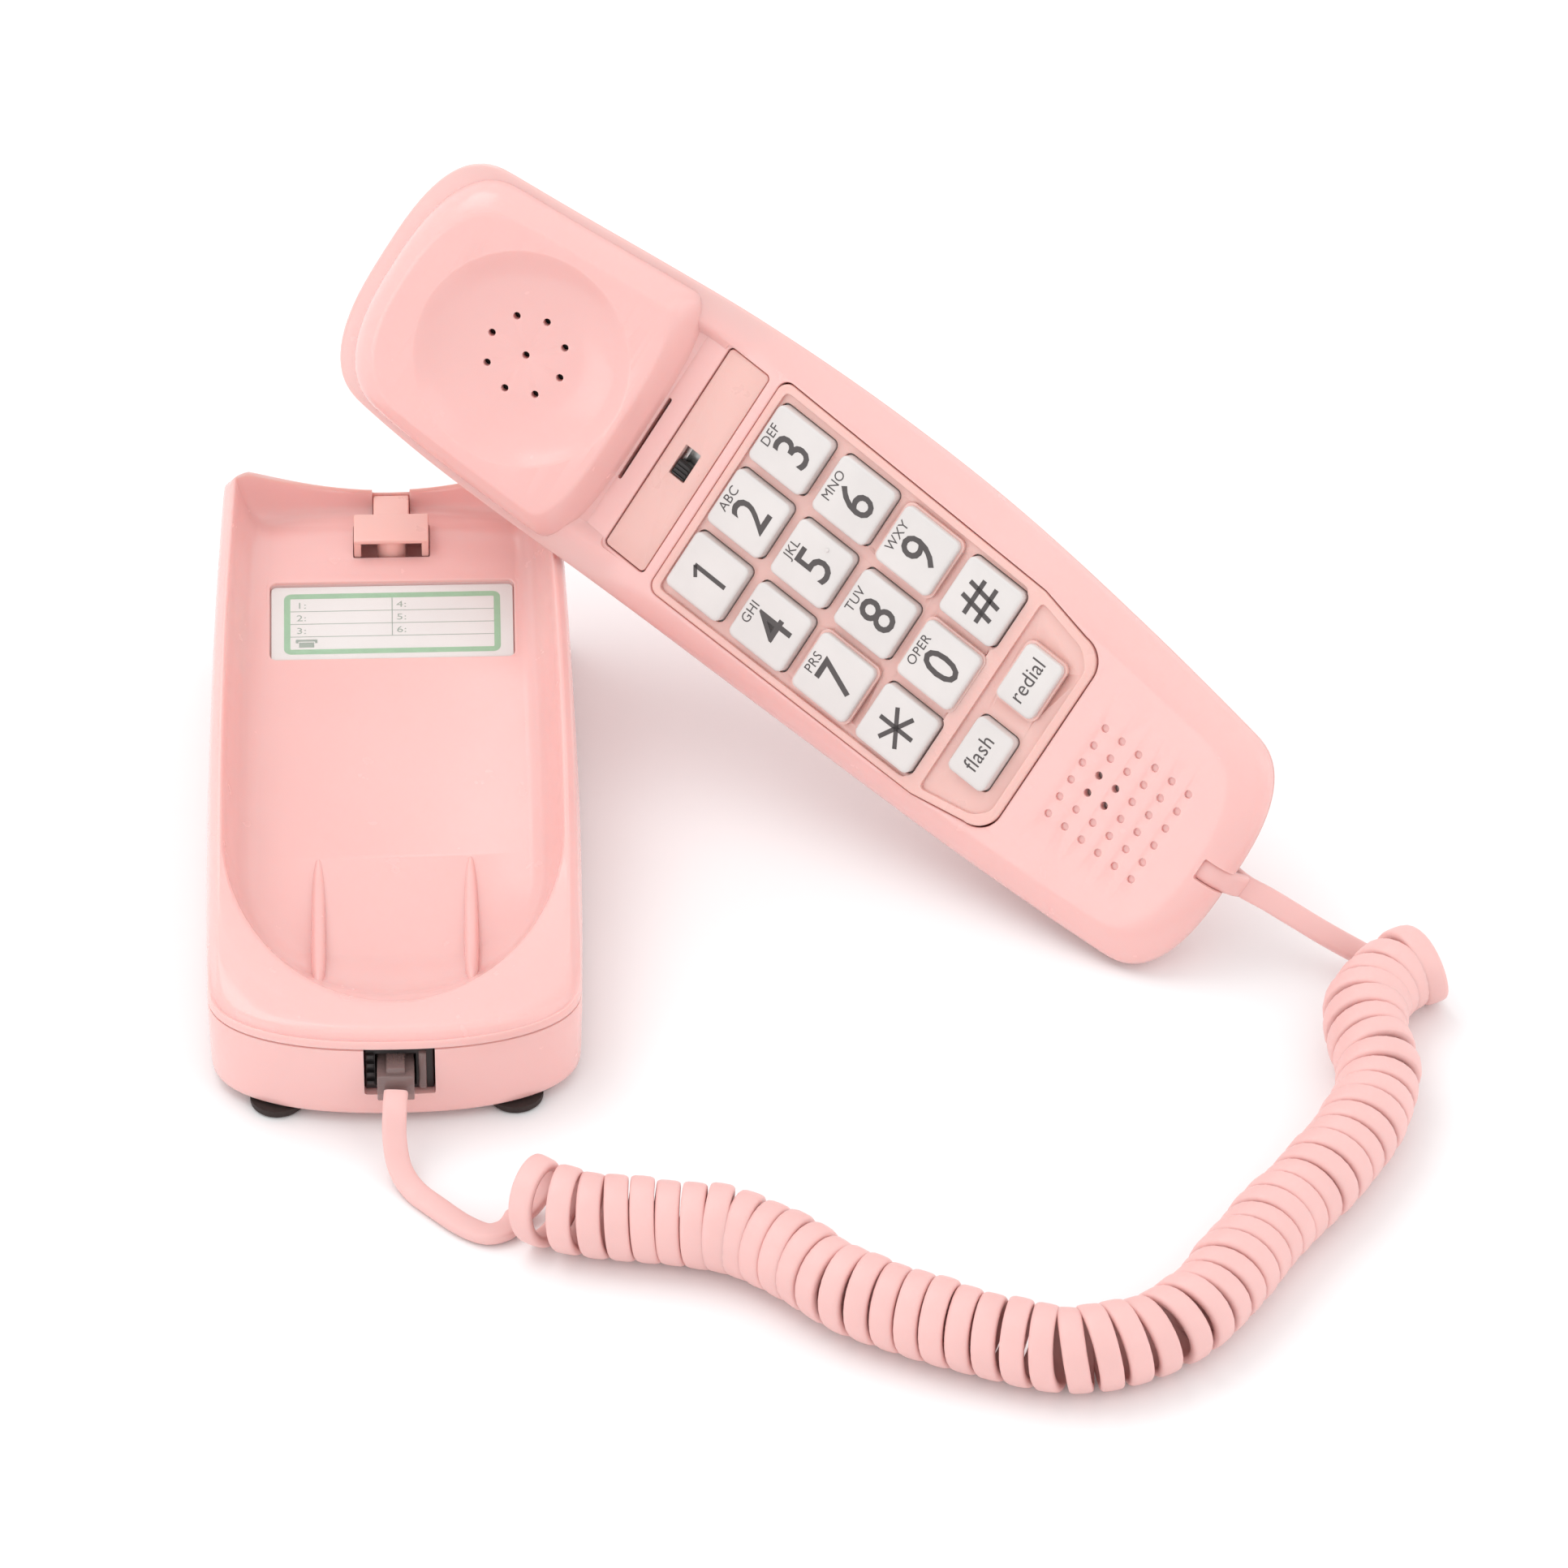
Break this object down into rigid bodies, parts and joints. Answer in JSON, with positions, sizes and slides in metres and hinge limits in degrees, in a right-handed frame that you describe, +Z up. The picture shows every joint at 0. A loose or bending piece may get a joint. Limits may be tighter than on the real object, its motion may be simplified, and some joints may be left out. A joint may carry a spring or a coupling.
{
  "type": "bedroom telephone",
  "caption": "Compact telephone: a sloping base with a cradle and directory card, a keypad handset off the hook, and a curly cord between them.",
  "frame": {"origin": "bottom centre of the box around the base and the handset, cord left out", "axes": "+Z up from the surface the telephone stands on; the base's front, with the cord's jack, faces -Y; the handset lies off the hook at the base's right, +X"},
  "size_m": [0.2622, 0.2725, 0.1191],
  "materials": {
    "pink_plastic": "polished moulded",
    "key_grey": "fine satin, printed",
    "black_plastic": "satin",
    "smoky_clear": "clear tinted",
    "foot_rubber": "matt",
    "membrane_rubber": "matt",
    "steel": "plated",
    "circuit_board": "solder mask",
    "card_paper": "printed card",
    "window_clear": "clear",
    "cord_pink": "semi-gloss vinyl"
  },
  "bodies": {
    "base": {"base_upper_shell": "pink_plastic", "base_lower_shell": "pink_plastic", "foot_1": "foot_rubber", "foot_2": "foot_rubber", "foot_3": "foot_rubber", "foot_4": "foot_rubber", "hook_spring": "steel", "hook_switch": "black_plastic", "directory_card": "card_paper", "card_window": "window_clear", "base_handset_jack": "black_plastic", "base_plug": "smoky_clear", "line_jack": "black_plastic", "base_circuit_board": "circuit_board", "ballast_plate": "steel", "ringer": "black_plastic", "base_screw_1": "steel", "base_screw_2": "steel", "base_screw_3": "steel", "base_screw_4": "steel", "cord_lead_base": "cord_pink", "cord_coil": "cord_pink", "cord_lead_handset": "cord_pink"},
    "hook": {"hook_plunger": "pink_plastic"},
    "handset": {"handset_front_shell": "pink_plastic", "handset_back_shell": "pink_plastic", "keypad_bezel": "pink_plastic", "volume_panel": "pink_plastic", "volume_switch_body": "steel", "keypad_membrane": "membrane_rubber", "handset_circuit_board": "circuit_board", "earpiece_receiver": "black_plastic", "microphone": "steel", "handset_jack": "black_plastic", "handset_plug": "smoky_clear", "handset_screw_1": "steel", "handset_screw_2": "steel"},
    "key_1": {"key_1": "key_grey"},
    "key_2": {"key_2": "key_grey"},
    "key_3": {"key_3": "key_grey"},
    "key_4": {"key_4": "key_grey"},
    "key_5": {"key_5": "key_grey"},
    "key_6": {"key_6": "key_grey"},
    "key_7": {"key_7": "key_grey"},
    "key_8": {"key_8": "key_grey"},
    "key_9": {"key_9": "key_grey"},
    "key_star": {"key_star": "key_grey"},
    "key_0": {"key_0": "key_grey"},
    "key_hash": {"key_hash": "key_grey"},
    "key_flash": {"key_flash": "key_grey"},
    "key_redial": {"key_redial": "key_grey"},
    "volume_knob": {"volume_knob": "black_plastic"}
  },
  "joints": [
    {"name": "hook_press", "type": "slide", "parent": "base", "child": "hook", "axis": [0, 0, -1], "range_m": [0, 0.0045], "stiffness_N_per_m": 200, "springref_m": -0.002, "deforming": ["hook_spring"]},
    {"name": "handset_lift", "type": "slide", "parent": "base", "child": "handset", "axis": [0, 0, 1], "range_m": [0, 0.12]},
    {"name": "press_1", "type": "slide", "parent": "handset", "child": "key_1", "axis": [0.4242, 0.7503, -0.507], "range_m": [0, 0.0013], "stiffness_N_per_m": 300, "springref_m": -0.001},
    {"name": "press_2", "type": "slide", "parent": "handset", "child": "key_2", "axis": [0.4242, 0.7503, -0.507], "range_m": [0, 0.0013], "stiffness_N_per_m": 300, "springref_m": -0.001},
    {"name": "press_3", "type": "slide", "parent": "handset", "child": "key_3", "axis": [0.4242, 0.7503, -0.507], "range_m": [0, 0.0013], "stiffness_N_per_m": 300, "springref_m": -0.001},
    {"name": "press_4", "type": "slide", "parent": "handset", "child": "key_4", "axis": [0.4242, 0.7503, -0.507], "range_m": [0, 0.0013], "stiffness_N_per_m": 300, "springref_m": -0.001},
    {"name": "press_5", "type": "slide", "parent": "handset", "child": "key_5", "axis": [0.4242, 0.7503, -0.507], "range_m": [0, 0.0013], "stiffness_N_per_m": 300, "springref_m": -0.001},
    {"name": "press_6", "type": "slide", "parent": "handset", "child": "key_6", "axis": [0.4242, 0.7503, -0.507], "range_m": [0, 0.0013], "stiffness_N_per_m": 300, "springref_m": -0.001},
    {"name": "press_7", "type": "slide", "parent": "handset", "child": "key_7", "axis": [0.4242, 0.7503, -0.507], "range_m": [0, 0.0013], "stiffness_N_per_m": 300, "springref_m": -0.001},
    {"name": "press_8", "type": "slide", "parent": "handset", "child": "key_8", "axis": [0.4242, 0.7503, -0.507], "range_m": [0, 0.0013], "stiffness_N_per_m": 300, "springref_m": -0.001},
    {"name": "press_9", "type": "slide", "parent": "handset", "child": "key_9", "axis": [0.4242, 0.7503, -0.507], "range_m": [0, 0.0013], "stiffness_N_per_m": 300, "springref_m": -0.001},
    {"name": "press_star", "type": "slide", "parent": "handset", "child": "key_star", "axis": [0.4242, 0.7503, -0.507], "range_m": [0, 0.0013], "stiffness_N_per_m": 300, "springref_m": -0.001},
    {"name": "press_0", "type": "slide", "parent": "handset", "child": "key_0", "axis": [0.4242, 0.7503, -0.507], "range_m": [0, 0.0013], "stiffness_N_per_m": 300, "springref_m": -0.001},
    {"name": "press_hash", "type": "slide", "parent": "handset", "child": "key_hash", "axis": [0.4242, 0.7503, -0.507], "range_m": [0, 0.0013], "stiffness_N_per_m": 300, "springref_m": -0.001},
    {"name": "press_flash", "type": "slide", "parent": "handset", "child": "key_flash", "axis": [0.4242, 0.7503, -0.507], "range_m": [0, 0.0013], "stiffness_N_per_m": 300, "springref_m": -0.001},
    {"name": "press_redial", "type": "slide", "parent": "handset", "child": "key_redial", "axis": [0.4242, 0.7503, -0.507], "range_m": [0, 0.0013], "stiffness_N_per_m": 300, "springref_m": -0.001},
    {"name": "volume_slide", "type": "slide", "parent": "handset", "child": "volume_knob", "axis": [0.5336, 0.2452, 0.8094], "range_m": [0, 0.0033]}
  ]
}
